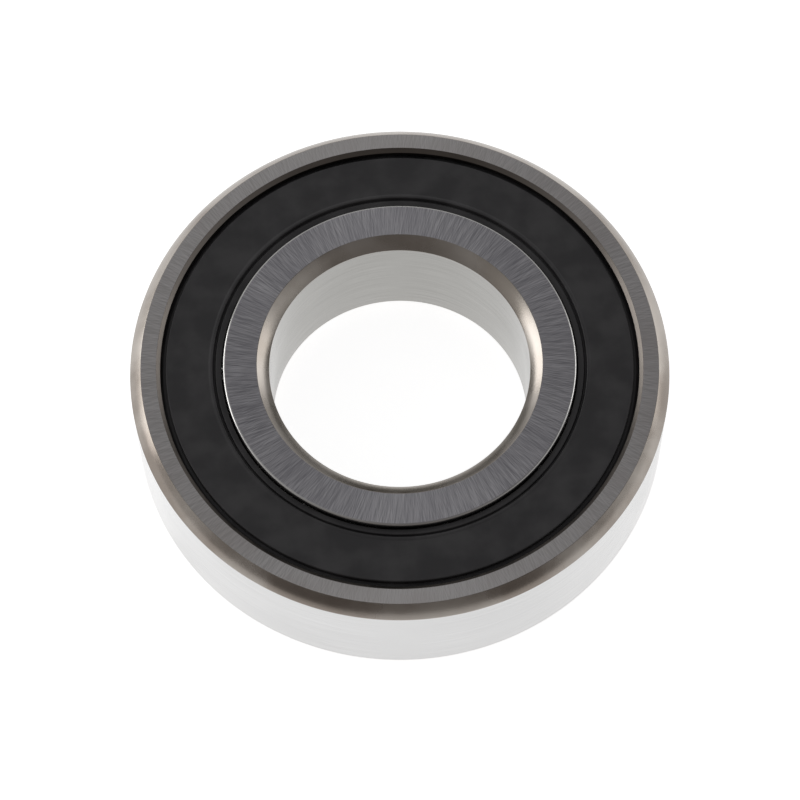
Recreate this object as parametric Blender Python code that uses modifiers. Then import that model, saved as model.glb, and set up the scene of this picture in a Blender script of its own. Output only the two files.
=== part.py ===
"""Sealed deep-groove ball bearing, 30 mm bore, 62 mm outside diameter, 16 mm wide.

Metres, +Z up. The bearing's axis is Z and its middle is at the origin. Each ring, seal, seal insert,
ball, cage half and rivet is an object of its own. Outlines are lists of (radius, height) points that run
up the inner side, outward across the top and down the outer side.
"""

from math import acos, atan2, cos, pi, radians, sin

import bmesh
import bpy
from mathutils import Matrix

MM = 0.001

# Boundary dimensions
BORE_RADIUS = 15.0 * MM
OUTSIDE_RADIUS = 31.0 * MM
HALF_WIDTH = 8.0 * MM

# Balls and raceways
BALL_COUNT = 9
BALL_RADIUS = 4.7625 * MM
PITCH_RADIUS = 23.0 * MM
GROOVE_RADIUS = 1.03 * BALL_RADIUS
RUNNING_GAP = 0.1 * MM

# Outer ring
OUTER_SHOULDER_RADIUS = 26.0 * MM
OUTER_CORNER_RADIAL = 1.3 * MM
OUTER_CORNER_AXIAL = 1.6 * MM
SEAT_FLOOR_HEIGHT = 5.75 * MM
SEAT_UNDERCUT_RADIUS = 28.0 * MM
SEAT_UNDERCUT_BOTTOM = 6.0 * MM
SEAT_UNDERCUT_TOP = 6.7 * MM
SEAT_MOUTH_RADIUS = 27.45 * MM
SEAT_MOUTH_CHAMFER = 0.45 * MM
SEAT_RELIEF = 0.4 * MM

# Inner ring
INNER_SHOULDER_RADIUS = 20.3 * MM
INNER_CORNER_RADIAL = 1.4 * MM
INNER_CORNER_AXIAL = 1.33 * MM
INNER_EDGE_CHAMFER = 0.28 * MM

# How much a ring's outside or bore corner bends from the face's edge to its other edge
CORNER_BEND = radians(20)

# Rubber seal
SEAL_FACE_HEIGHT = 7.55 * MM
SEAL_THICKNESS = 0.77 * MM
SEAL_RIM_RADIUS = 26.85 * MM
SEAL_RIM_ROUND = 0.45 * MM
SEAL_BEAD_RADIUS = 27.85 * MM
SEAL_BEAD_TOP = 6.85 * MM
SEAL_BEAD_BOTTOM = 5.9 * MM
SEAL_BEAD_ROUND = 0.3 * MM
SEAL_INNER_EDGE_RADIUS = 21.5 * MM
SEAL_INNER_EDGE_RAISE = 0.05 * MM
SEAL_INNER_EDGE_WIDTH = 0.22 * MM
SEAL_HEEL_BOTTOM = 6.3 * MM
LIP_GAP = 0.15 * MM
LIP_TOP = 7.42 * MM
LIP_TIP_TOP = 7.3 * MM
LIP_TIP_BOTTOM = 6.62 * MM
LIP_ROOT_HEIGHT = 7.1 * MM
LIP_ROOT_WIDTH = 0.13 * MM
LIP_OUTER_RADIUS = 21.12 * MM

# Steel insert on the inner side of each seal
INSERT_GAP = 0.05 * MM
INSERT_THICKNESS = 0.5 * MM
INSERT_INNER_RADIUS = 22.0 * MM
INSERT_OUTER_RADIUS = 26.65 * MM
INSERT_FLANGE_BOTTOM = 5.95 * MM

# Ribbon cage and its rivets
CAGE_THICKNESS = 0.7 * MM
CAGE_INNER_RADIUS = 21.2 * MM
CAGE_OUTER_RADIUS = 24.8 * MM
CAGE_HALF_GAP = 0.05 * MM
POCKET_GAP = 0.3 * MM
RIVET_SHANK_RADIUS = 0.7 * MM
RIVET_HOLE_RADIUS = 0.85 * MM
RIVET_HEAD_RADIUS = 1.3 * MM
RIVET_HEAD_HEIGHT = 0.7 * MM
RIVET_SEAT_GAP = 0.06 * MM

# How far a cut piece's blank stands past the cuts that shape it
BLANK_MARGIN = 1.0 * MM

# How finely round shapes are divided
RING_STEPS = 48
SEAL_STEPS = 40
CAGE_STEPS = 36
RACE_STEPS = 4
CORNER_STEPS = 3
ROUND_STEPS = 2
BALL_SEGMENTS = 12
BALL_RINGS = 8
POCKET_SEGMENTS = 16
POCKET_RINGS = 8
RIVET_STEPS = 8
SHARP_ANGLE = radians(35)

HALF_TURN = (pi, 0.0, 0.0)
UPRIGHT = (0.0, 0.0, 0.0)


def clear_scene():
    for obj in list(bpy.data.objects):
        bpy.data.objects.remove(obj)


def new_collection(name, shown):
    collection = bpy.data.collections.new(name)
    collection.hide_render = not shown
    bpy.context.scene.collection.children.link(collection)
    return collection


def material(name, colour, metallic, roughness):
    made = bpy.data.materials.new(name)
    made.use_nodes = True
    shader = made.node_tree.nodes["Principled BSDF"]
    shader.inputs["Base Color"].default_value = (*colour, 1.0)
    shader.inputs["Metallic"].default_value = metallic
    shader.inputs["Roughness"].default_value = roughness
    made.diffuse_color = (*colour, 1.0)
    return made


def ring_steel():
    """Hardened bearing steel, ground."""
    return material("ring_steel", (0.56, 0.55, 0.54), 1.0, 0.28)


def ball_steel():
    """Hardened bearing steel, lapped to a mirror finish."""
    return material("ball_steel", (0.72, 0.72, 0.72), 1.0, 0.06)


def cage_steel():
    """Cold-rolled strip, pressed."""
    return material("cage_steel", (0.48, 0.47, 0.45), 1.0, 0.4)


def rivet_steel():
    """Drawn wire, headed at both ends."""
    return material("rivet_steel", (0.5, 0.49, 0.47), 1.0, 0.35)


def insert_steel():
    """Thin sheet that stiffens a seal."""
    return material("insert_steel", (0.42, 0.42, 0.42), 1.0, 0.45)


def seal_rubber():
    """Black nitrile rubber."""
    return material("seal_rubber", (0.028, 0.028, 0.03), 0.0, 0.55)


def add_part(name, mesh, finish, parent=None, location=(0.0, 0.0, 0.0), rotation=UPRIGHT):
    """One named sub-part in the bearing's collection."""
    if not mesh.materials:
        mesh.materials.append(finish)
    part = bpy.data.objects.new(name, mesh)
    part.location = location
    part.rotation_euler = rotation
    part.parent = parent
    parts.objects.link(part)
    return part


def add_axis(name, parent=None, location=(0.0, 0.0, 0.0)):
    """An empty on a joint's axis, which carries what turns with the joint."""
    axis = bpy.data.objects.new(name, None)
    axis.empty_display_size = BALL_RADIUS
    axis.location = location
    axis.parent = parent
    parts.objects.link(axis)
    return axis


def add_cutter(name, mesh):
    cutter = bpy.data.objects.new(name, mesh)
    cutter.hide_render = True
    cutter.display_type = "WIRE"
    cutters.objects.link(cutter)
    return cutter


def finished_mesh(guide, name):
    """The guide's mesh with its modifiers applied and round sides smooth. The guide is removed."""
    graph = bpy.context.evaluated_depsgraph_get()
    mesh = bpy.data.meshes.new_from_object(guide.evaluated_get(graph))
    mesh.name = name
    mesh.shade_smooth()
    mesh.set_sharp_from_angle(angle=SHARP_ANGLE)
    bpy.data.objects.remove(guide)
    return mesh


def turned_mesh(name, outline, steps, closed=True):
    """An outline turned once about Z. An open outline starts and ends on the axis."""
    profile = bpy.data.meshes.new(name + "_outline")
    count = len(outline)
    edges = [(i, (i + 1) % count) for i in range(count if closed else count - 1)]
    profile.from_pydata([(radius, 0.0, height) for radius, height in outline], edges, [])
    guide = add_cutter(name + "_guide", profile)
    turn = guide.modifiers.new("Turn", "SCREW")
    turn.axis = "Z"
    turn.angle = 2 * pi
    turn.steps = steps
    turn.render_steps = steps
    turn.use_merge_vertices = True
    turn.merge_threshold = 0.00001
    return finished_mesh(guide, name)


def arc(centre, across, up, start, end, steps):
    """Points on an ellipse about centre, from one angle to another, both in degrees."""
    angles = [radians(start + (end - start) * i / steps) for i in range(steps + 1)]
    return [(centre[0] + across * cos(a), centre[1] + up * sin(a)) for a in angles]


def corner_arc(start, across, drop):
    """A shallow arc from a face's edge outward by across, or inward if it is negative, and down by drop."""
    middle = atan2(drop, abs(across))
    first = middle - CORNER_BEND / 2
    last = middle + CORNER_BEND / 2
    reach = across / (sin(last) - sin(first))
    points = []
    for i in range(CORNER_STEPS + 1):
        tilt = first + CORNER_BEND * i / CORNER_STEPS
        radius = start[0] + reach * (sin(tilt) - sin(first))
        height = start[1] - abs(reach) * (cos(first) - cos(tilt))
        points.append((radius, height))
    return points


def with_lower_half(upper):
    """A closed outline from its upper half, mirrored about the bearing's middle plane."""
    return upper + [(radius, -height) for radius, height in reversed(upper) if height > 0]


def outer_ring_outline():
    groove_centre = PITCH_RADIUS + BALL_RADIUS + RUNNING_GAP - GROOVE_RADIUS
    groove_end = acos((OUTER_SHOULDER_RADIUS - groove_centre) / GROOVE_RADIUS) * 180 / pi
    groove = arc((groove_centre, 0.0), GROOVE_RADIUS, GROOVE_RADIUS, 0.0, groove_end, RACE_STEPS)
    seal_seat = [
        (OUTER_SHOULDER_RADIUS, SEAT_FLOOR_HEIGHT),
        (SEAT_UNDERCUT_RADIUS - SEAT_RELIEF, SEAT_FLOOR_HEIGHT),
        (SEAT_UNDERCUT_RADIUS, SEAT_UNDERCUT_BOTTOM),
        (SEAT_UNDERCUT_RADIUS, SEAT_UNDERCUT_TOP),
        (SEAT_MOUTH_RADIUS, SEAT_UNDERCUT_TOP + SEAT_RELIEF),
        (SEAT_MOUTH_RADIUS, HALF_WIDTH - SEAT_MOUTH_CHAMFER),
        (SEAT_MOUTH_RADIUS + SEAT_MOUTH_CHAMFER, HALF_WIDTH),
    ]
    face_edge = (OUTSIDE_RADIUS - OUTER_CORNER_RADIAL, HALF_WIDTH)
    corner = corner_arc(face_edge, OUTER_CORNER_RADIAL, OUTER_CORNER_AXIAL)
    return with_lower_half(groove + seal_seat + corner)


def inner_ring_outline():
    groove_centre = PITCH_RADIUS - BALL_RADIUS - RUNNING_GAP + GROOVE_RADIUS
    groove_start = 180.0 - acos((groove_centre - INNER_SHOULDER_RADIUS) / GROOVE_RADIUS) * 180 / pi
    face_edge = (BORE_RADIUS + INNER_CORNER_RADIAL, HALF_WIDTH)
    corner = corner_arc(face_edge, -INNER_CORNER_RADIAL, INNER_CORNER_AXIAL)[::-1]
    outer_edge = [
        (INNER_SHOULDER_RADIUS - INNER_EDGE_CHAMFER, HALF_WIDTH),
        (INNER_SHOULDER_RADIUS, HALF_WIDTH - INNER_EDGE_CHAMFER),
    ]
    groove = arc((groove_centre, 0.0), GROOVE_RADIUS, GROOVE_RADIUS, groove_start, 180.0, RACE_STEPS)
    groove[-1] = (groove[-1][0], 0.0)
    return with_lower_half(corner + outer_edge + groove)


def seal_outline():
    underside = SEAL_FACE_HEIGHT - SEAL_THICKNESS
    lip_tip = INNER_SHOULDER_RADIUS + LIP_GAP
    heel = INSERT_INNER_RADIUS - INSERT_GAP
    bead_wall = INSERT_OUTER_RADIUS + INSERT_GAP
    edge_top = SEAL_FACE_HEIGHT + SEAL_INNER_EDGE_RAISE
    rim_centre = (SEAL_RIM_RADIUS - SEAL_RIM_ROUND, SEAL_FACE_HEIGHT - SEAL_RIM_ROUND)
    lip = [
        (lip_tip, LIP_TIP_BOTTOM),
        (lip_tip, LIP_TIP_TOP),
        (LIP_OUTER_RADIUS, LIP_TOP),
        (SEAL_INNER_EDGE_RADIUS - 2 * LIP_ROOT_WIDTH, LIP_ROOT_HEIGHT),
        (SEAL_INNER_EDGE_RADIUS - LIP_ROOT_WIDTH, LIP_ROOT_HEIGHT),
    ]
    face = [
        (SEAL_INNER_EDGE_RADIUS, edge_top),
        (SEAL_INNER_EDGE_RADIUS + SEAL_INNER_EDGE_WIDTH, edge_top),
        (SEAL_INNER_EDGE_RADIUS + 2 * SEAL_INNER_EDGE_WIDTH, SEAL_FACE_HEIGHT),
    ]
    rim = arc(rim_centre, SEAL_RIM_ROUND, SEAL_RIM_ROUND, 90.0, 0.0, ROUND_STEPS)
    bead = [
        (SEAL_RIM_RADIUS, SEAL_BEAD_TOP),
        (SEAL_RIM_RADIUS + SEAL_BEAD_ROUND, SEAL_BEAD_TOP),
        (SEAL_BEAD_RADIUS, SEAL_BEAD_TOP - SEAL_BEAD_ROUND),
        (SEAL_BEAD_RADIUS, SEAL_BEAD_BOTTOM + SEAL_BEAD_ROUND),
        (SEAL_BEAD_RADIUS - SEAL_BEAD_ROUND, SEAL_BEAD_BOTTOM),
    ]
    inner_side = [
        (bead_wall, SEAL_BEAD_BOTTOM),
        (bead_wall, underside),
        (heel, underside),
        (heel, SEAL_HEEL_BOTTOM),
        (SEAL_INNER_EDGE_RADIUS, SEAL_HEEL_BOTTOM),
    ]
    return lip + face + rim + bead + inner_side


def insert_outline():
    top = SEAL_FACE_HEIGHT - SEAL_THICKNESS - INSERT_GAP
    bottom = top - INSERT_THICKNESS
    flange = INSERT_OUTER_RADIUS - INSERT_THICKNESS
    return [
        (INSERT_INNER_RADIUS, bottom),
        (INSERT_INNER_RADIUS, top),
        (INSERT_OUTER_RADIUS, top),
        (INSERT_OUTER_RADIUS, INSERT_FLANGE_BOTTOM),
        (flange, INSERT_FLANGE_BOTTOM),
        (flange, bottom),
    ]


def rivet_outline():
    """Two domed heads on a plain shank, from the top of one head down to the top of the other."""
    seat = CAGE_HALF_GAP + CAGE_THICKNESS + RIVET_SEAT_GAP
    dome = arc((0.0, seat), RIVET_HEAD_RADIUS, RIVET_HEAD_HEIGHT, 90.0, 0.0, ROUND_STEPS)
    dome[0] = (0.0, dome[0][1])
    upper = dome + [(RIVET_SHANK_RADIUS, seat)]
    return upper + [(radius, -height) for radius, height in reversed(upper)]


def sphere_mesh(name, radius, segments, rings):
    """A sphere centred on its own origin."""
    mesh = bpy.data.meshes.new(name)
    shape = bmesh.new()
    bmesh.ops.create_uvsphere(shape, u_segments=segments, v_segments=rings, radius=radius)
    shape.to_mesh(mesh)
    shape.free()
    mesh.shade_smooth()
    return mesh


def around(radius, offset=0.0):
    """Placements spaced evenly on a circle, one for each ball."""
    for index in range(BALL_COUNT):
        angle = 2 * pi * (index + offset) / BALL_COUNT
        yield Matrix.Rotation(angle, 4, "Z") @ Matrix.Translation((radius, 0.0, 0.0))


def pocket_spheres(name, radius):
    """One sphere at each ball's place, its poles facing the bearing's axis, as a single cutter."""
    mesh = bpy.data.meshes.new(name)
    shape = bmesh.new()
    lying = Matrix.Rotation(pi / 2, 4, "Y")
    for place in around(PITCH_RADIUS):
        bmesh.ops.create_uvsphere(
            shape,
            u_segments=POCKET_SEGMENTS,
            v_segments=POCKET_RINGS,
            radius=radius,
            matrix=place @ lying,
        )
    shape.to_mesh(mesh)
    shape.free()
    return add_cutter(name, mesh)


def rivet_holes():
    """One upright cylinder at each rivet's place, as a single cutter."""
    mesh = bpy.data.meshes.new("rivet_holes")
    shape = bmesh.new()
    for place in around(PITCH_RADIUS, 0.5):
        bmesh.ops.create_cone(
            shape,
            cap_ends=True,
            segments=RIVET_STEPS,
            radius1=RIVET_HOLE_RADIUS,
            radius2=RIVET_HOLE_RADIUS,
            depth=BALL_RADIUS,
            matrix=place,
        )
    shape.to_mesh(mesh)
    shape.free()
    return add_cutter("rivet_holes", mesh)


def band_outline(inner, outer, bottom, top):
    return [(inner, bottom), (inner, top), (outer, top), (outer, bottom)]


def boolean(target, operation, cutter):
    cut = target.modifiers.new(cutter.name, "BOOLEAN")
    cut.operation = operation
    cut.solver = "EXACT"
    cut.object = cutter


def cage_half_mesh():
    """The upper cage half: a flat ribbon pressed up into a round pocket over each ball."""
    pocket_radius = BALL_RADIUS + POCKET_GAP
    ribbon_top = CAGE_HALF_GAP + CAGE_THICKNESS
    blank_inner = CAGE_INNER_RADIUS - BLANK_MARGIN
    blank_outer = CAGE_OUTER_RADIUS + BLANK_MARGIN
    blank = turned_mesh(
        "cage_blank",
        band_outline(blank_inner, blank_outer, -BLANK_MARGIN, ribbon_top),
        CAGE_STEPS,
    )
    width = turned_mesh(
        "cage_width",
        band_outline(CAGE_INNER_RADIUS, CAGE_OUTER_RADIUS, CAGE_HALF_GAP, 2 * BALL_RADIUS),
        CAGE_STEPS,
    )
    half = add_cutter("cage_half", blank)
    boolean(half, "DIFFERENCE", rivet_holes())
    boolean(half, "UNION", pocket_spheres("pocket_outside", pocket_radius + CAGE_THICKNESS))
    boolean(half, "INTERSECT", add_cutter("ribbon_width", width))
    boolean(half, "DIFFERENCE", pocket_spheres("pocket_inside", pocket_radius))
    return finished_mesh(half, "cage_half")


def add_rings(steel):
    outer = turned_mesh("outer_ring", outer_ring_outline(), RING_STEPS)
    inner = turned_mesh("inner_ring", inner_ring_outline(), RING_STEPS)
    add_part("outer_ring", outer, steel)
    add_part("inner_ring", inner, steel, parent=add_axis("inner_ring_axis"))


def add_seals(rubber, steel):
    seal = turned_mesh("seal", seal_outline(), SEAL_STEPS)
    insert = turned_mesh("seal_insert", insert_outline(), SEAL_STEPS)
    for side, rotation in (("upper", UPRIGHT), ("lower", HALF_TURN)):
        add_part(side + "_seal", seal, rubber, rotation=rotation)
        add_part(side + "_seal_insert", insert, steel, rotation=rotation)


def add_cage(strip, wire, axis):
    half = cage_half_mesh()
    add_part("cage_upper", half, strip, parent=axis)
    add_part("cage_lower", half, strip, parent=axis, rotation=HALF_TURN)
    rivet = turned_mesh("cage_rivet", rivet_outline(), RIVET_STEPS, closed=False)
    for number, place in enumerate(around(PITCH_RADIUS, 0.5), 1):
        name = f"cage_rivet_{number}"
        add_part(name, rivet, wire, parent=axis, location=place.translation)


def add_balls(steel, cage_axis):
    ball = sphere_mesh("ball", BALL_RADIUS, BALL_SEGMENTS, BALL_RINGS)
    for number, place in enumerate(around(PITCH_RADIUS), 1):
        axis = add_axis(f"ball_{number}_axis", cage_axis, place.translation)
        add_part(f"ball_{number}", ball, steel, parent=axis)


clear_scene()
parts = new_collection("ball_bearing", shown=True)
cutters = new_collection("cutters", shown=False)
add_rings(ring_steel())
add_seals(seal_rubber(), insert_steel())
cage_axis = add_axis("cage_axis")
add_cage(cage_steel(), rivet_steel(), cage_axis)
add_balls(ball_steel(), cage_axis)
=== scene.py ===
"""Looks of the sealed ball bearing: fine meshes and ground, worn and moulded finishes on the frame.

Metres, +Z up, in the frame's own coordinates. Outlines are (radius, height, rounding) corners that run up
the inner side, outward across the top and down the outer side.
"""

from math import acos, atan2, ceil, cos, degrees, hypot, pi, radians, sin, sqrt, tan

import bmesh
import bpy
from mathutils import Matrix, Vector


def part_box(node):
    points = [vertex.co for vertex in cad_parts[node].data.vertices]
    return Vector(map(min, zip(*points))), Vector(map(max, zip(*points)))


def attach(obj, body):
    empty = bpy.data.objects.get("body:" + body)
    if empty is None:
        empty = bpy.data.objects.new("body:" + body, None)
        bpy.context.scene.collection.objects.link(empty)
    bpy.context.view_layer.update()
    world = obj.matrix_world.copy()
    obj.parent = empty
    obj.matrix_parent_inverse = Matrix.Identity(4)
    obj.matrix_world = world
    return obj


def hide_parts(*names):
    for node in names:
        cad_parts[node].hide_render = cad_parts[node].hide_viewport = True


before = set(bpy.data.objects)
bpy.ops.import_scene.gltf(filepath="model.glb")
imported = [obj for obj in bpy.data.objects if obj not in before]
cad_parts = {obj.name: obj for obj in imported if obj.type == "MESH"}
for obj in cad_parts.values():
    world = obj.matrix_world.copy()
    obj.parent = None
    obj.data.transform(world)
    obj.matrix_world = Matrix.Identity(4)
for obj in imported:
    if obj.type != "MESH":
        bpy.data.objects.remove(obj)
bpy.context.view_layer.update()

MM = 0.001

# Bodies of the imported record, and its number of balls
FIXED_BODY = "outer_ring_and_seals"
INNER_BODY = "inner_ring"
CAGE_BODY = "cage"
BALL_COUNT = 9

# Sizes read from the frame
OUTSIDE_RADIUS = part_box("outer_ring")[1].x
HALF_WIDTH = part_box("outer_ring")[1].z
SHOULDER_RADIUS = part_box("inner_ring")[1].x
BEAD_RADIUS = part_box("upper_seal")[1].x
BEAD_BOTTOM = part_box("upper_seal")[0].z
INSERT_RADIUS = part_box("upper_seal_insert")[1].x
INSERT_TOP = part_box("upper_seal_insert")[1].z
INSERT_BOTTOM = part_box("upper_seal_insert")[0].z
BALL_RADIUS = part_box("ball_1")[1].z
PITCH_RADIUS = (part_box("ball_1")[0].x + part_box("ball_1")[1].x) / 2
CAGE_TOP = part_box("cage_upper")[1].z
RIVET_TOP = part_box("cage_rivet_1")[1].z
BORE_RADIUS = min(hypot(v.co.x, v.co.y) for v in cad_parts["inner_ring"].data.vertices)

# Rings
OUTER_CORNER = (1.3 * MM, 1.6 * MM)
INNER_CORNER = (1.4 * MM, 1.33 * MM)
CORNER_BEND = radians(20)
OUTER_SHOULDER_RADIUS = 26.0 * MM
SEAT_FLOOR = 5.75 * MM
SEAT_RADIUS = 28.0 * MM
SEAT_BOTTOM = 6.0 * MM
SEAT_TOP = 6.7 * MM
SEAT_MOUTH_RADIUS = 27.45 * MM
SEAT_CHAMFER = 0.45 * MM
SEAT_RELIEF = 0.4 * MM
GROOVE_RADIUS = 1.03 * BALL_RADIUS
RUNNING_GAP = 0.1 * MM
EDGE_ROUND = 0.12 * MM
SHOULDER_ROUND = 0.32 * MM
FINE_ROUND = 0.05 * MM

# Seals
SEAL_FACE = 7.55 * MM
SEAL_RIM_RADIUS = 26.85 * MM
SEAL_RIM_ROUND = 0.16 * MM
SEAL_EDGE_RADIUS = 21.5 * MM
SEAL_EDGE_RAISE = 0.05 * MM
SEAL_EDGE_WIDTH = 0.22 * MM
SEAL_HEEL = 6.3 * MM
BEAD_TOP = 6.85 * MM
BEAD_ROUND = 0.3 * MM
LIP_GAP = 0.15 * MM
LIP_OUTER = (21.12 * MM, 7.42 * MM)
LIP_TIP_TOP = 7.3 * MM
LIP_TIP_BOTTOM = 6.62 * MM
LIP_ROOT = 7.1 * MM
LIP_ROOT_WIDTH = 0.13 * MM
INSERT_GAP = 0.05 * MM
INSERT_THICKNESS = 0.5 * MM
INSERT_INNER_RADIUS = 22.0 * MM

# Cage
CAGE_RADII = (21.2 * MM, 24.8 * MM)
CAGE_THICKNESS = 0.7 * MM
CAGE_HALF_GAP = 0.05 * MM
CAGE_FOLD = 0.25 * MM
RIVET_SHANK_RADIUS = 0.7 * MM
RIVET_HOLE_RADIUS = 0.85 * MM
RIVET_HEAD_RADIUS = 1.3 * MM
RIVET_SEAT = 0.81 * MM

# Mesh fineness
RING_STEPS = 288
INSERT_STEPS = 216
RIVET_STEPS = 48
DRILL_STEPS = 32
STRIP_CELLS = 14
BALL_CUTS = 19
ARC_STEP = radians(9)
SHARP_ANGLE = radians(40)
HOLD = 0.02 * MM

# A face points along the axis above the first share of its normal, and square to it below the second
ALONG_AXIS = 0.995
SQUARE_TO_AXIS = 0.02
CORNER_ZONE = 2 * MM

# Camera: the middle of the top face is what it is measured from
CAMERA_ELEVATION = radians(64.78)
CAMERA_DISTANCE = 0.381
CAMERA_LENS = 149.67
CAMERA_CLIP = 0.01
CAMERA_DROP = radians(0.66)
CAMERA_ROLL = radians(-0.51)
FLOOR_REACH = 3.0


# ---------------------------------------------------------------- outlines


def rounded(corners):
    """Points of a closed outline with rounded corners, and a support point on each side of an arc."""
    points = []
    count = len(corners)
    for i, (x, y, rounding) in enumerate(corners):
        here = Vector((x, y))
        back = Vector(corners[i - 1][:2]) - here
        ahead = Vector(corners[(i + 1) % count][:2]) - here
        if rounding <= 0:
            points.append((x, y))
            continue
        reach = min(back.length, ahead.length) / 2 - HOLD
        half = back.angle(ahead) / 2
        setback = min(rounding / tan(half), reach)
        radius = setback * tan(half)
        back.normalize()
        ahead.normalize()
        centre = here + (back + ahead).normalized() * (radius / sin(half))
        start = here + back * setback - centre
        end = here + ahead * setback - centre
        turn = pi - 2 * half
        steps = max(2, ceil(turn / ARC_STEP))
        points.append(tuple(here + back * (setback + HOLD)))
        for k in range(steps + 1):
            share = k / steps
            spoke = start * sin((1 - share) * turn) + end * sin(share * turn)
            points.append(tuple(centre + spoke / sin(turn)))
        points.append(tuple(here + ahead * (setback + HOLD)))
    return points


def arc(centre, across, up, start, end):
    """Corners on an ellipse about centre between two angles in degrees."""
    steps = ceil(radians(abs(end - start)) / ARC_STEP)
    angles = [radians(start + (end - start) * i / steps) for i in range(steps + 1)]
    return [(centre[0] + across * cos(a), centre[1] + up * sin(a), 0.0) for a in angles]


def corner_arc(start, across, drop):
    """Corners along a shallow arc from a face's edge to the outside or the bore, with crisp ends."""
    middle = atan2(drop, abs(across))
    first = middle - CORNER_BEND / 2
    last = middle + CORNER_BEND / 2
    reach = across / (sin(last) - sin(first))
    steps = ceil(CORNER_BEND / ARC_STEP)
    points = []
    for i in range(steps + 1):
        tilt = first + CORNER_BEND * i / steps
        r = start[0] + reach * (sin(tilt) - sin(first))
        z = start[1] - abs(reach) * (cos(first) - cos(tilt))
        points.append((r, z, EDGE_ROUND if i in (0, steps) else 0.0))
    return points


def with_lower_half(upper):
    """A closed outline from its upper half, mirrored about the middle plane."""
    return upper + [(r, -z, rounding) for r, z, rounding in reversed(upper) if z > 1e-9]


def outer_ring_outline():
    centre = PITCH_RADIUS + BALL_RADIUS + RUNNING_GAP - GROOVE_RADIUS
    end = degrees(acos((OUTER_SHOULDER_RADIUS - centre) / GROOVE_RADIUS))
    across, drop = OUTER_CORNER
    seat = [
        (OUTER_SHOULDER_RADIUS, SEAT_FLOOR, EDGE_ROUND),
        (SEAT_RADIUS - SEAT_RELIEF, SEAT_FLOOR, FINE_ROUND),
        (SEAT_RADIUS, SEAT_BOTTOM, FINE_ROUND),
        (SEAT_RADIUS, SEAT_TOP, FINE_ROUND),
        (SEAT_MOUTH_RADIUS, SEAT_TOP + SEAT_RELIEF, FINE_ROUND),
        (SEAT_MOUTH_RADIUS, HALF_WIDTH - SEAT_CHAMFER, EDGE_ROUND),
        (SEAT_MOUTH_RADIUS + SEAT_CHAMFER, HALF_WIDTH, FINE_ROUND),
    ]
    corner = corner_arc((OUTSIDE_RADIUS - across, HALF_WIDTH), across, drop)
    groove = arc((centre, 0.0), GROOVE_RADIUS, GROOVE_RADIUS, 0, end)
    return rounded(with_lower_half(groove + seat + corner))


def inner_ring_outline():
    centre = PITCH_RADIUS - BALL_RADIUS - RUNNING_GAP + GROOVE_RADIUS
    start = 180 - degrees(acos((centre - SHOULDER_RADIUS) / GROOVE_RADIUS))
    across, drop = INNER_CORNER
    corner = corner_arc((BORE_RADIUS + across, HALF_WIDTH), -across, drop)[::-1]
    edge = [(SHOULDER_RADIUS, HALF_WIDTH, SHOULDER_ROUND)]
    groove = arc((centre, 0.0), GROOVE_RADIUS, GROOVE_RADIUS, start, 180)
    groove[-1] = (groove[-1][0], 0.0, 0.0)
    return rounded(with_lower_half(corner + edge + groove))


def seal_outline():
    lip_tip = SHOULDER_RADIUS + LIP_GAP
    heel = INSERT_INNER_RADIUS - INSERT_GAP
    wall = INSERT_RADIUS + INSERT_GAP
    underside = INSERT_TOP + INSERT_GAP
    edge_top = SEAL_FACE + SEAL_EDGE_RAISE
    root = SEAL_EDGE_RADIUS - LIP_ROOT_WIDTH
    return rounded(
        [
            (lip_tip, LIP_TIP_BOTTOM, EDGE_ROUND),
            (lip_tip, LIP_TIP_TOP, EDGE_ROUND),
            (*LIP_OUTER, EDGE_ROUND),
            (root - LIP_ROOT_WIDTH, LIP_ROOT, FINE_ROUND),
            (root, LIP_ROOT, FINE_ROUND),
            (SEAL_EDGE_RADIUS, edge_top, EDGE_ROUND),
            (SEAL_EDGE_RADIUS + SEAL_EDGE_WIDTH, edge_top, EDGE_ROUND),
            (SEAL_EDGE_RADIUS + 2 * SEAL_EDGE_WIDTH, SEAL_FACE, FINE_ROUND),
            (SEAL_RIM_RADIUS, SEAL_FACE, SEAL_RIM_ROUND),
            (SEAL_RIM_RADIUS, BEAD_TOP, FINE_ROUND),
            (SEAL_RIM_RADIUS + BEAD_ROUND, BEAD_TOP, EDGE_ROUND),
            (BEAD_RADIUS, BEAD_TOP - BEAD_ROUND, EDGE_ROUND),
            (BEAD_RADIUS, BEAD_BOTTOM + BEAD_ROUND, EDGE_ROUND),
            (BEAD_RADIUS - BEAD_ROUND, BEAD_BOTTOM, EDGE_ROUND),
            (wall, BEAD_BOTTOM, FINE_ROUND),
            (wall, underside, 0.0),
            (heel, underside, 0.0),
            (heel, SEAL_HEEL, FINE_ROUND),
            (SEAL_EDGE_RADIUS, SEAL_HEEL, EDGE_ROUND),
        ]
    )


def insert_outline():
    bottom = INSERT_TOP - INSERT_THICKNESS
    flange = INSERT_RADIUS - INSERT_THICKNESS
    return rounded(
        [
            (INSERT_INNER_RADIUS, bottom, FINE_ROUND),
            (INSERT_INNER_RADIUS, INSERT_TOP, FINE_ROUND),
            (INSERT_RADIUS, INSERT_TOP, 3 * EDGE_ROUND),
            (INSERT_RADIUS, INSERT_BOTTOM, FINE_ROUND),
            (flange, INSERT_BOTTOM, FINE_ROUND),
            (flange, bottom, EDGE_ROUND),
        ]
    )


def rivet_outline():
    """From the top of one head, down the outside, to the top of the other, both on the axis."""
    dome = arc((0.0, RIVET_SEAT), RIVET_HEAD_RADIUS, RIVET_TOP - RIVET_SEAT, 90, 0)
    upper = [(0.0, RIVET_TOP)]
    upper += [(r, z) for r, z, _ in dome[1:]]
    upper.append((RIVET_SHANK_RADIUS, RIVET_SEAT))
    return upper + [(r, -z) for r, z in reversed(upper)]


# ---------------------------------------------------------------- meshes


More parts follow.
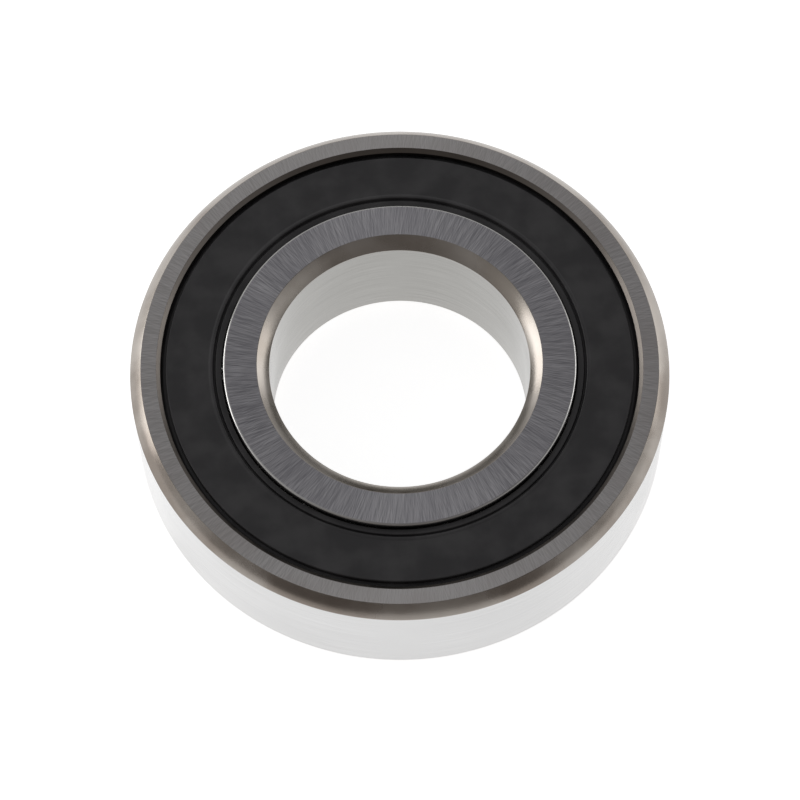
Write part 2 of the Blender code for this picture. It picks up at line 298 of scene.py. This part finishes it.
def turned(name, outline, steps, closed=True):
    """A piece turned about Z from an outline."""
    profile = bpy.data.meshes.new(name)
    count = len(outline)
    edges = [(i, (i + 1) % count) for i in range(count if closed else count - 1)]
    profile.from_pydata([(r, 0.0, z) for r, z in outline], edges, [])
    piece = bpy.data.objects.new(name, profile)
    bpy.context.scene.collection.objects.link(piece)
    turn = piece.modifiers.new("Turn", "SCREW")
    turn.steps = steps
    turn.render_steps = steps
    turn.use_merge_vertices = True
    turn.merge_threshold = 0.000001
    return applied(piece)


def applied(piece):
    """The piece with its modifiers made part of its mesh, smooth but for its sharp edges."""
    graph = bpy.context.evaluated_depsgraph_get()
    mesh = bpy.data.meshes.new_from_object(piece.evaluated_get(graph))
    piece.modifiers.clear()
    piece.data = mesh
    mesh.shade_smooth()
    mesh.set_sharp_from_angle(angle=SHARP_ANGLE)
    return piece


def turned_over(piece, name):
    """The same piece for the lower side: a copy turned half way round about X."""
    lower = piece.copy()
    lower.data = piece.data.copy()
    lower.name = name
    lower.data.transform(Matrix.Rotation(pi, 4, "X"))
    bpy.context.scene.collection.objects.link(lower)
    return lower


def settle(piece, body, node):
    """The piece moves with a body and stands for a CAD node, which it hides."""
    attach(piece, body)
    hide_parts(node)


def smooth_max(a, b, width):
    """The larger of two heights, blended over a width where they cross, as a bend in sheet metal."""
    gap = max(width - abs(a - b), 0.0) / width
    return max(a, b) + gap * gap * width / 4


def pocket_height(x, y, radius, land):
    """Height of the pressed strip above the plane where the halves meet."""
    spacing = 2 * pi / BALL_COUNT
    near = round(atan2(y, x) / spacing) * spacing
    offset = hypot(x - PITCH_RADIUS * cos(near), y - PITCH_RADIUS * sin(near))
    rise = sqrt(max(radius * radius - offset * offset, 0.0))
    return smooth_max(rise, land, CAGE_FOLD)


def cage_half(name):
    """The pressed strip: one closed shell over a grid of angles and radii, with the rivets' holes."""
    across = STRIP_CELLS
    shape = bmesh.new()
    rows = []
    for i in range(RING_STEPS * 2):
        angle = pi * i / RING_STEPS
        row = []
        for j in range(across + 1):
            r = CAGE_RADII[0] + (CAGE_RADII[1] - CAGE_RADII[0]) * j / across
            x, y = r * cos(angle), r * sin(angle)
            low = pocket_height(x, y, CAGE_TOP - CAGE_THICKNESS, CAGE_HALF_GAP)
            high = pocket_height(x, y, CAGE_TOP, CAGE_HALF_GAP + CAGE_THICKNESS)
            row.append((shape.verts.new((x, y, low)), shape.verts.new((x, y, high))))
        rows.append(row)
    for i, row in enumerate(rows):
        following = rows[(i + 1) % len(rows)]
        for j in range(across):
            shape.faces.new((row[j][1], row[j + 1][1], following[j + 1][1], following[j][1]))
            shape.faces.new((row[j][0], following[j][0], following[j + 1][0], row[j + 1][0]))
        shape.faces.new((row[0][0], row[0][1], following[0][1], following[0][0]))
        shape.faces.new((row[-1][0], following[-1][0], following[-1][1], row[-1][1]))
    mesh = bpy.data.meshes.new(name)
    shape.to_mesh(mesh)
    shape.free()
    piece = bpy.data.objects.new(name, mesh)
    bpy.context.scene.collection.objects.link(piece)
    drill = rivet_drill()
    holes = piece.modifiers.new("Holes", "BOOLEAN")
    holes.operation = "DIFFERENCE"
    holes.object = drill
    applied(piece)
    bpy.data.objects.remove(drill)
    return piece


def rivet_places():
    for index in range(BALL_COUNT):
        angle = 2 * pi * (index + 0.5) / BALL_COUNT
        yield Vector((PITCH_RADIUS * cos(angle), PITCH_RADIUS * sin(angle), 0.0))


def rivet_drill():
    shape = bmesh.new()
    for place in rivet_places():
        bmesh.ops.create_cone(
            shape,
            cap_ends=True,
            segments=DRILL_STEPS,
            radius1=RIVET_HOLE_RADIUS,
            radius2=RIVET_HOLE_RADIUS,
            depth=BALL_RADIUS,
            matrix=Matrix.Translation(place),
        )
    mesh = bpy.data.meshes.new("rivet_drill")
    shape.to_mesh(mesh)
    shape.free()
    drill = bpy.data.objects.new("rivet_drill", mesh)
    bpy.context.scene.collection.objects.link(drill)
    return drill


def ball(name, centre):
    """A ball made as a cube rounded onto a sphere, so that it has no poles."""
    shape = bmesh.new()
    bmesh.ops.create_cube(shape, size=1.0)
    bmesh.ops.subdivide_edges(shape, edges=shape.edges[:], cuts=BALL_CUTS, use_grid_fill=True)
    for vertex in shape.verts:
        vertex.co = vertex.co.normalized() * BALL_RADIUS + centre
    mesh = bpy.data.meshes.new(name)
    shape.to_mesh(mesh)
    shape.free()
    mesh.shade_smooth()
    piece = bpy.data.objects.new(name, mesh)
    bpy.context.scene.collection.objects.link(piece)
    return piece


# ---------------------------------------------------------------- materials


class Shader:
    """A material's node tree. A number or colour is set on its socket, and an output is linked."""

    def __init__(self, name):
        self.material = bpy.data.materials.new(name)
        self.material.use_nodes = True
        self.tree = self.material.node_tree
        self.surface = self.tree.nodes["Principled BSDF"]

    def feed(self, socket, value):
        if isinstance(value, bpy.types.NodeSocket):
            self.tree.links.new(value, socket)
        else:
            socket.default_value = value

    def add(self, kind, inputs, output=0, **settings):
        node = self.tree.nodes.new(kind)
        for key, value in settings.items():
            setattr(node, key, value)
        for key, value in inputs.items():
            self.feed(node.inputs[key], value)
        return node.outputs[output]

    def set(self, **values):
        for key, value in values.items():
            self.feed(self.surface.inputs[key.replace("_", " ")], value)

    def math(self, operation, a, b):
        return self.add("ShaderNodeMath", {0: a, 1: b}, operation=operation)

    def vector(self, operation, a, output=0):
        return self.add("ShaderNodeVectorMath", {0: a}, output, operation=operation)

    def remap(self, value, low, high, to_low=0.0, to_high=1.0):
        inputs = {0: value, 1: low, 2: high, 3: to_low, 4: to_high}
        return self.add("ShaderNodeMapRange", inputs, interpolation_type="SMOOTHSTEP")

    def blend(self, factor, a, b):
        return self.add("ShaderNodeMix", {0: factor, 6: a, 7: b}, 2, data_type="RGBA")

    def noise(self, vector, scale, detail=2.0):
        inputs = {"Vector": vector, "Scale": scale, "Detail": detail}
        return self.add("ShaderNodeTexNoise", inputs)

    def position(self):
        return self.add("ShaderNodeTexCoord", {}, "Object")

    def polar(self):
        """The direction from the bearing's axis, the radius and the height."""
        parts = self.tree.nodes.new("ShaderNodeSeparateXYZ")
        self.feed(parts.inputs[0], self.position())
        flat = self.add("ShaderNodeCombineXYZ", {0: parts.outputs[0], 1: parts.outputs[1]})
        return self.vector("NORMALIZE", flat), self.vector("LENGTH", flat, 1), parts.outputs[2]

    def bump(self, height, distance, strength):
        inputs = {"Height": height, "Distance": distance, "Strength": strength}
        return self.add("ShaderNodeBump", inputs)

    def tangent(self):
        return self.add("ShaderNodeTangent", {}, direction_type="RADIAL", axis="Z")


def grinding(shader, direction, radius, lean, density):
    """Fine scratches across a face. They lean away from the radius by lean radians a metre."""
    angle = shader.math("MULTIPLY", radius, lean)
    inputs = {"Vector": direction, "Axis": (0.0, 0.0, 1.0), "Angle": angle}
    swept = shader.add("ShaderNodeVectorRotate", inputs, rotation_type="AXIS_ANGLE")
    outward = shader.add("ShaderNodeCombineXYZ", {2: shader.math("MULTIPLY", radius, 1.6)})
    place = shader.add("ShaderNodeVectorMath", {0: swept, 1: outward}, operation="ADD")
    return shader.noise(place, density, 3.0)


def face_steel(name, dark, light, stain, depth):
    """A ground side face: fine scratches, nearly radial, over steel with a faint cloudy stain."""
    shader = Shader(name)
    direction, radius, _ = shader.polar()
    forward = grinding(shader, direction, radius, 7.0, 150.0)
    backward = grinding(shader, direction, radius, -4.0, 290.0)
    lines = shader.math("MULTIPLY", shader.math("ADD", forward, backward), 0.5)
    cloud = shader.noise(shader.position(), 160.0, 3.0)
    clear = shader.blend(shader.remap(lines, 0.36, 0.66), dark, light)
    stained = shader.blend(shader.remap(cloud, 0.35, 0.75, 0.0, 0.35), clear, stain)
    shader.set(
        Base_Color=stained,
        Metallic=1.0,
        Roughness=shader.remap(lines, 0.3, 0.7, 0.42, 0.28),
        Anisotropic=0.75,
        Tangent=shader.tangent(),
        Normal=shader.bump(lines, 0.00002, depth),
    )
    return shader.material


def corner_steel(name, dark, light):
    """An unground corner, tinted brown by hardening, with small worn patches."""
    shader = Shader(name)
    position = shader.position()
    cloud = shader.noise(position, 120.0, 4.0)
    grain = shader.noise(position, 1800.0, 2.0)
    shader.set(
        Base_Color=shader.blend(shader.remap(cloud, 0.35, 0.68), dark, light),
        Metallic=1.0,
        Roughness=shader.remap(cloud, 0.3, 0.7, 0.2, 0.32),
        Normal=shader.bump(grain, 0.00001, 0.15),
    )
    return shader.material


def land_steel(name, dark, light):
    """The bore or the outside: finely ground round the bearing, with a faint smear of handling; the bore
    takes darker colours that paint the shade inside it.
    """
    shader = Shader(name)
    direction, _, height = shader.polar()
    up = shader.add("ShaderNodeCombineXYZ", {2: shader.math("MULTIPLY", height, 9000.0)})
    place = shader.add("ShaderNodeVectorMath", {0: direction, 1: up}, operation="ADD")
    lines = shader.noise(place, 2.0, 3.0)
    smear = shader.noise(shader.position(), 90.0, 2.0)
    colour = shader.blend(shader.remap(lines, 0.35, 0.65), dark, light)
    shader.set(
        Base_Color=colour,
        Metallic=1.0,
        Roughness=shader.remap(smear, 0.35, 0.7, 0.16, 0.24),
        Anisotropic=0.4,
        Anisotropic_Rotation=0.25,
        Tangent=shader.tangent(),
        Normal=shader.bump(lines, 0.000004, 0.2),
    )
    return shader.material


def clouded_steel(name, dark, light, roughness):
    """Hard-turned steel under a thin uneven film, for the raceways and the seal seats; the seats take
    darker colours that paint their shade.
    """
    shader = Shader(name)
    cloud = shader.noise(shader.position(), 200.0, 3.0)
    shader.set(
        Base_Color=shader.blend(cloud, dark, light),
        Metallic=1.0,
        Roughness=shader.remap(cloud, 0.3, 0.7, roughness, roughness + 0.1),
    )
    return shader.material


def seal_rubber():
    """Moulded nitrile rubber: satin black with faint mottling and fine moulding texture."""
    shader = Shader("seal_rubber")
    position = shader.position()
    mottle = shader.noise(position, 260.0, 4.0)
    grain = shader.noise(position, 5200.0, 2.0)
    dark = (0.025, 0.024, 0.0255, 1.0)
    light = (0.04, 0.0385, 0.04, 1.0)
    colour = shader.blend(shader.remap(mottle, 0.35, 0.7), dark, light)
    shader.set(
        Base_Color=colour,
        Roughness=shader.remap(mottle, 0.35, 0.7, 0.42, 0.56),
        Normal=shader.bump(grain, 0.00001, 0.3),
    )
    return shader.material


def sheet_steel(name, dark, light, roughness):
    """Pressed sheet or drawn wire, dull from the press."""
    shader = Shader(name)
    position = shader.position()
    cloud = shader.noise(position, 300.0, 4.0)
    grain = shader.noise(position, 4000.0, 2.0)
    shader.set(
        Base_Color=shader.blend(cloud, dark, light),
        Metallic=1.0,
        Roughness=shader.remap(cloud, 0.3, 0.7, roughness, roughness + 0.12),
        Normal=shader.bump(grain, 0.00001, 0.3),
    )
    return shader.material


def ball_steel():
    """Lapped and polished, under a thin uneven film of oil."""
    shader = Shader("ball_steel")
    film = shader.noise(shader.position(), 250.0, 3.0)
    shader.set(
        Base_Color=shader.blend(film, (0.68, 0.68, 0.68, 1.0), (0.76, 0.76, 0.76, 1.0)),
        Metallic=1.0,
        Roughness=shader.remap(film, 0.3, 0.7, 0.04, 0.1),
    )
    return shader.material


def ring_finish(piece, land_radius, finishes):
    """Each part of a ring takes its own finish: face, corner, land, edge or seat, and race. The seats'
    and the bore's darker colours are painted shade.
    """
    for finish in finishes:
        piece.data.materials.append(finish)
    for polygon in piece.data.polygons:
        radius = hypot(polygon.center.x, polygon.center.y)
        height = abs(polygon.center.z)
        tilt = abs(polygon.normal.z)
        if tilt > ALONG_AXIS and height > HALF_WIDTH - HOLD:
            polygon.material_index = 0
        elif abs(radius - land_radius) < HOLD and tilt < SQUARE_TO_AXIS:
            polygon.material_index = 2
        elif abs(radius - land_radius) < CORNER_ZONE:
            polygon.material_index = 1
        elif height > SEAT_FLOOR - HOLD:
            polygon.material_index = 3
        else:
            polygon.material_index = 4


# ---------------------------------------------------------------- stage


def make_camera():
    data = bpy.data.cameras.new("camera")
    data.lens = CAMERA_LENS
    data.sensor_width = 36.0
    data.clip_start = CAMERA_CLIP
    camera = bpy.data.objects.new("camera", data)
    bpy.context.scene.collection.objects.link(camera)
    target = Vector((0.0, 0.0, HALF_WIDTH))
    away = Vector((0.0, -cos(CAMERA_ELEVATION), sin(CAMERA_ELEVATION)))
    pitch = pi / 2 - CAMERA_ELEVATION - CAMERA_DROP
    turn = Matrix.Rotation(pitch, 4, "X") @ Matrix.Rotation(CAMERA_ROLL, 4, "Z")
    camera.matrix_world = Matrix.Translation(target + away * CAMERA_DISTANCE) @ turn
    bpy.context.scene.camera = camera


def make_floor():
    """A plain white sheet, faintly lit through."""
    shape = bmesh.new()
    bmesh.ops.create_grid(shape, x_segments=8, y_segments=8, size=FLOOR_REACH)
    mesh = bpy.data.meshes.new("floor")
    shape.to_mesh(mesh)
    shape.free()
    floor = bpy.data.objects.new("floor", mesh)
    floor.location.z = -HALF_WIDTH
    bpy.context.scene.collection.objects.link(floor)
    shader = Shader("floor")
    shader.set(
        Base_Color=(0.6, 0.6, 0.6, 1.0),
        Roughness=0.9,
        Emission_Color=(1.0, 1.0, 1.0, 1.0),
        Emission_Strength=0.88,
    )
    mesh.materials.append(shader.material)


def soft_light(name, place, aim, size, power):
    data = bpy.data.lights.new(name, "AREA")
    data.shape = "RECTANGLE"
    data.size, data.size_y = size
    data.energy = power
    light = bpy.data.objects.new(name, data)
    light.location = place
    light.rotation_euler = (Vector(aim) - Vector(place)).to_track_quat("-Z", "Y").to_euler()
    bpy.context.scene.collection.objects.link(light)


def make_light():
    """Two soft lights low at the sides, in a room with pale walls, a grey ceiling and a dim front."""
    soft_light("left_light", (-0.85, 0.3, 0.2), (0.0, 0.0, 0.0), (0.6, 0.5), 2.8)
    soft_light("right_light", (0.85, 0.35, 0.22), (0.0, 0.0, 0.0), (0.5, 0.5), 1.2)
    world = bpy.data.worlds.new("studio")
    bpy.context.scene.world = world
    world.use_nodes = True
    tree = world.node_tree
    sky = tree.nodes["Background"]
    direction = tree.nodes.new("ShaderNodeTexCoord")
    parts = tree.nodes.new("ShaderNodeSeparateXYZ")
    tree.links.new(direction.outputs["Generated"], parts.inputs[0])
    across, along, up = parts.outputs
    pale = (0.42, 0.42, 0.42, 1.0)
    ceiling = graded(tree, across, -0.4, 0.0, pale, (0.2, 0.197, 0.203, 1.0))
    walls = graded(tree, up, 0.4, 0.8, (0.7, 0.7, 0.7, 1.0), ceiling)
    room = graded(tree, along, -0.9, -0.1, (0.21, 0.197, 0.19, 1.0), walls)
    tree.links.new(room, sky.inputs[0])


def graded(tree, value, low, high, first, second):
    """A colour that goes from first to second as value goes from low to high."""
    share = tree.nodes.new("ShaderNodeMapRange")
    share.interpolation_type = "SMOOTHSTEP"
    tree.links.new(value, share.inputs[0])
    share.inputs[1].default_value = low
    share.inputs[2].default_value = high
    mix = tree.nodes.new("ShaderNodeMix")
    mix.data_type = "RGBA"
    tree.links.new(share.outputs[0], mix.inputs[0])
    for socket, colour in ((mix.inputs[6], first), (mix.inputs[7], second)):
        if isinstance(colour, bpy.types.NodeSocket):
            tree.links.new(colour, socket)
        else:
            socket.default_value = colour
    return mix.outputs[2]


# ---------------------------------------------------------------- the bearing


def make_rings():
    outer_face = face_steel(
        "outer_face_steel",
        dark=(0.48, 0.465, 0.455, 1.0),
        light=(0.7, 0.68, 0.67, 1.0),
        stain=(0.46, 0.42, 0.4, 1.0),
        depth=0.2,
    )
    inner_face = face_steel(
        "inner_face_steel",
        dark=(0.29, 0.285, 0.305, 1.0),
        light=(0.69, 0.68, 0.7, 1.0),
        stain=(0.32, 0.31, 0.34, 1.0),
        depth=0.3,
    )
    outer_corner = corner_steel("outer_corner_steel", (0.23, 0.2, 0.175, 1.0), (0.37, 0.34, 0.31, 1.0))
    inner_corner = corner_steel("inner_corner_steel", (0.27, 0.24, 0.21, 1.0), (0.39, 0.36, 0.33, 1.0))
    outside = land_steel("outside_steel", (0.55, 0.55, 0.55, 1.0), (0.62, 0.62, 0.62, 1.0))
    # Painted shade: the bore is the same ground steel as the outside, given darker colours for the shade
    # inside it.
    bore = land_steel("bore_steel_painted_shade", (0.33, 0.325, 0.31, 1.0), (0.4, 0.395, 0.38, 1.0))
    # Painted shade: the seal seats are steel given near-black colours for the shade in their recess under
    # the seal's rim.
    seat = clouded_steel("seat_steel_painted_shade", (0.1, 0.09, 0.08, 1.0), (0.18, 0.16, 0.145, 1.0), 0.3)
    edge = clouded_steel("edge_steel", (0.42, 0.41, 0.4, 1.0), (0.56, 0.55, 0.54, 1.0), 0.2)
    race = clouded_steel("race_steel", (0.5, 0.49, 0.48, 1.0), (0.62, 0.61, 0.6, 1.0), 0.12)
    outer = turned("outer_ring_fine", outer_ring_outline(), RING_STEPS)
    ring_finish(outer, OUTSIDE_RADIUS, (outer_face, outer_corner, outside, seat, race))
    settle(outer, FIXED_BODY, "outer_ring")
    inner = turned("inner_ring_fine", inner_ring_outline(), RING_STEPS)
    ring_finish(inner, BORE_RADIUS, (inner_face, inner_corner, bore, edge, race))
    settle(inner, INNER_BODY, "inner_ring")


def make_seals():
    rubber = seal_rubber()
    sheet = sheet_steel("insert_steel", (0.36, 0.36, 0.36, 1.0), (0.48, 0.48, 0.48, 1.0), 0.35)
    seal = turned("upper_seal_fine", seal_outline(), RING_STEPS)
    seal.data.materials.append(rubber)
    insert = turned("upper_seal_insert_fine", insert_outline(), INSERT_STEPS)
    insert.data.materials.append(sheet)
    lower_seal = turned_over(seal, "lower_seal_fine")
    lower_insert = turned_over(insert, "lower_seal_insert_fine")
    settle(seal, FIXED_BODY, "upper_seal")
    settle(lower_seal, FIXED_BODY, "lower_seal")
    settle(insert, FIXED_BODY, "upper_seal_insert")
    settle(lower_insert, FIXED_BODY, "lower_seal_insert")


def make_cage():
    strip = sheet_steel("cage_steel", (0.4, 0.39, 0.37, 1.0), (0.56, 0.55, 0.53, 1.0), 0.3)
    wire = sheet_steel("rivet_steel", (0.44, 0.43, 0.41, 1.0), (0.58, 0.57, 0.55, 1.0), 0.25)
    upper = cage_half("cage_upper_fine")
    upper.data.materials.append(strip)
    lower = turned_over(upper, "cage_lower_fine")
    settle(upper, CAGE_BODY, "cage_upper")
    settle(lower, CAGE_BODY, "cage_lower")
    for number, place in enumerate(rivet_places(), 1):
        rivet = turned(f"cage_rivet_{number}_fine", rivet_outline(), RIVET_STEPS, closed=False)
        rivet.data.transform(Matrix.Translation(place))
        rivet.data.materials.append(wire)
        settle(rivet, CAGE_BODY, f"cage_rivet_{number}")


def make_balls():
    steel = ball_steel()
    for number in range(1, BALL_COUNT + 1):
        low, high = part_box(f"ball_{number}")
        piece = ball(f"ball_{number}_fine", (low + high) / 2)
        piece.data.materials.append(steel)
        settle(piece, f"ball_{number}", f"ball_{number}")


bpy.context.scene.view_settings.view_transform = "Standard"
make_camera()
make_floor()
make_light()
make_rings()
make_seals()
make_cage()
make_balls()
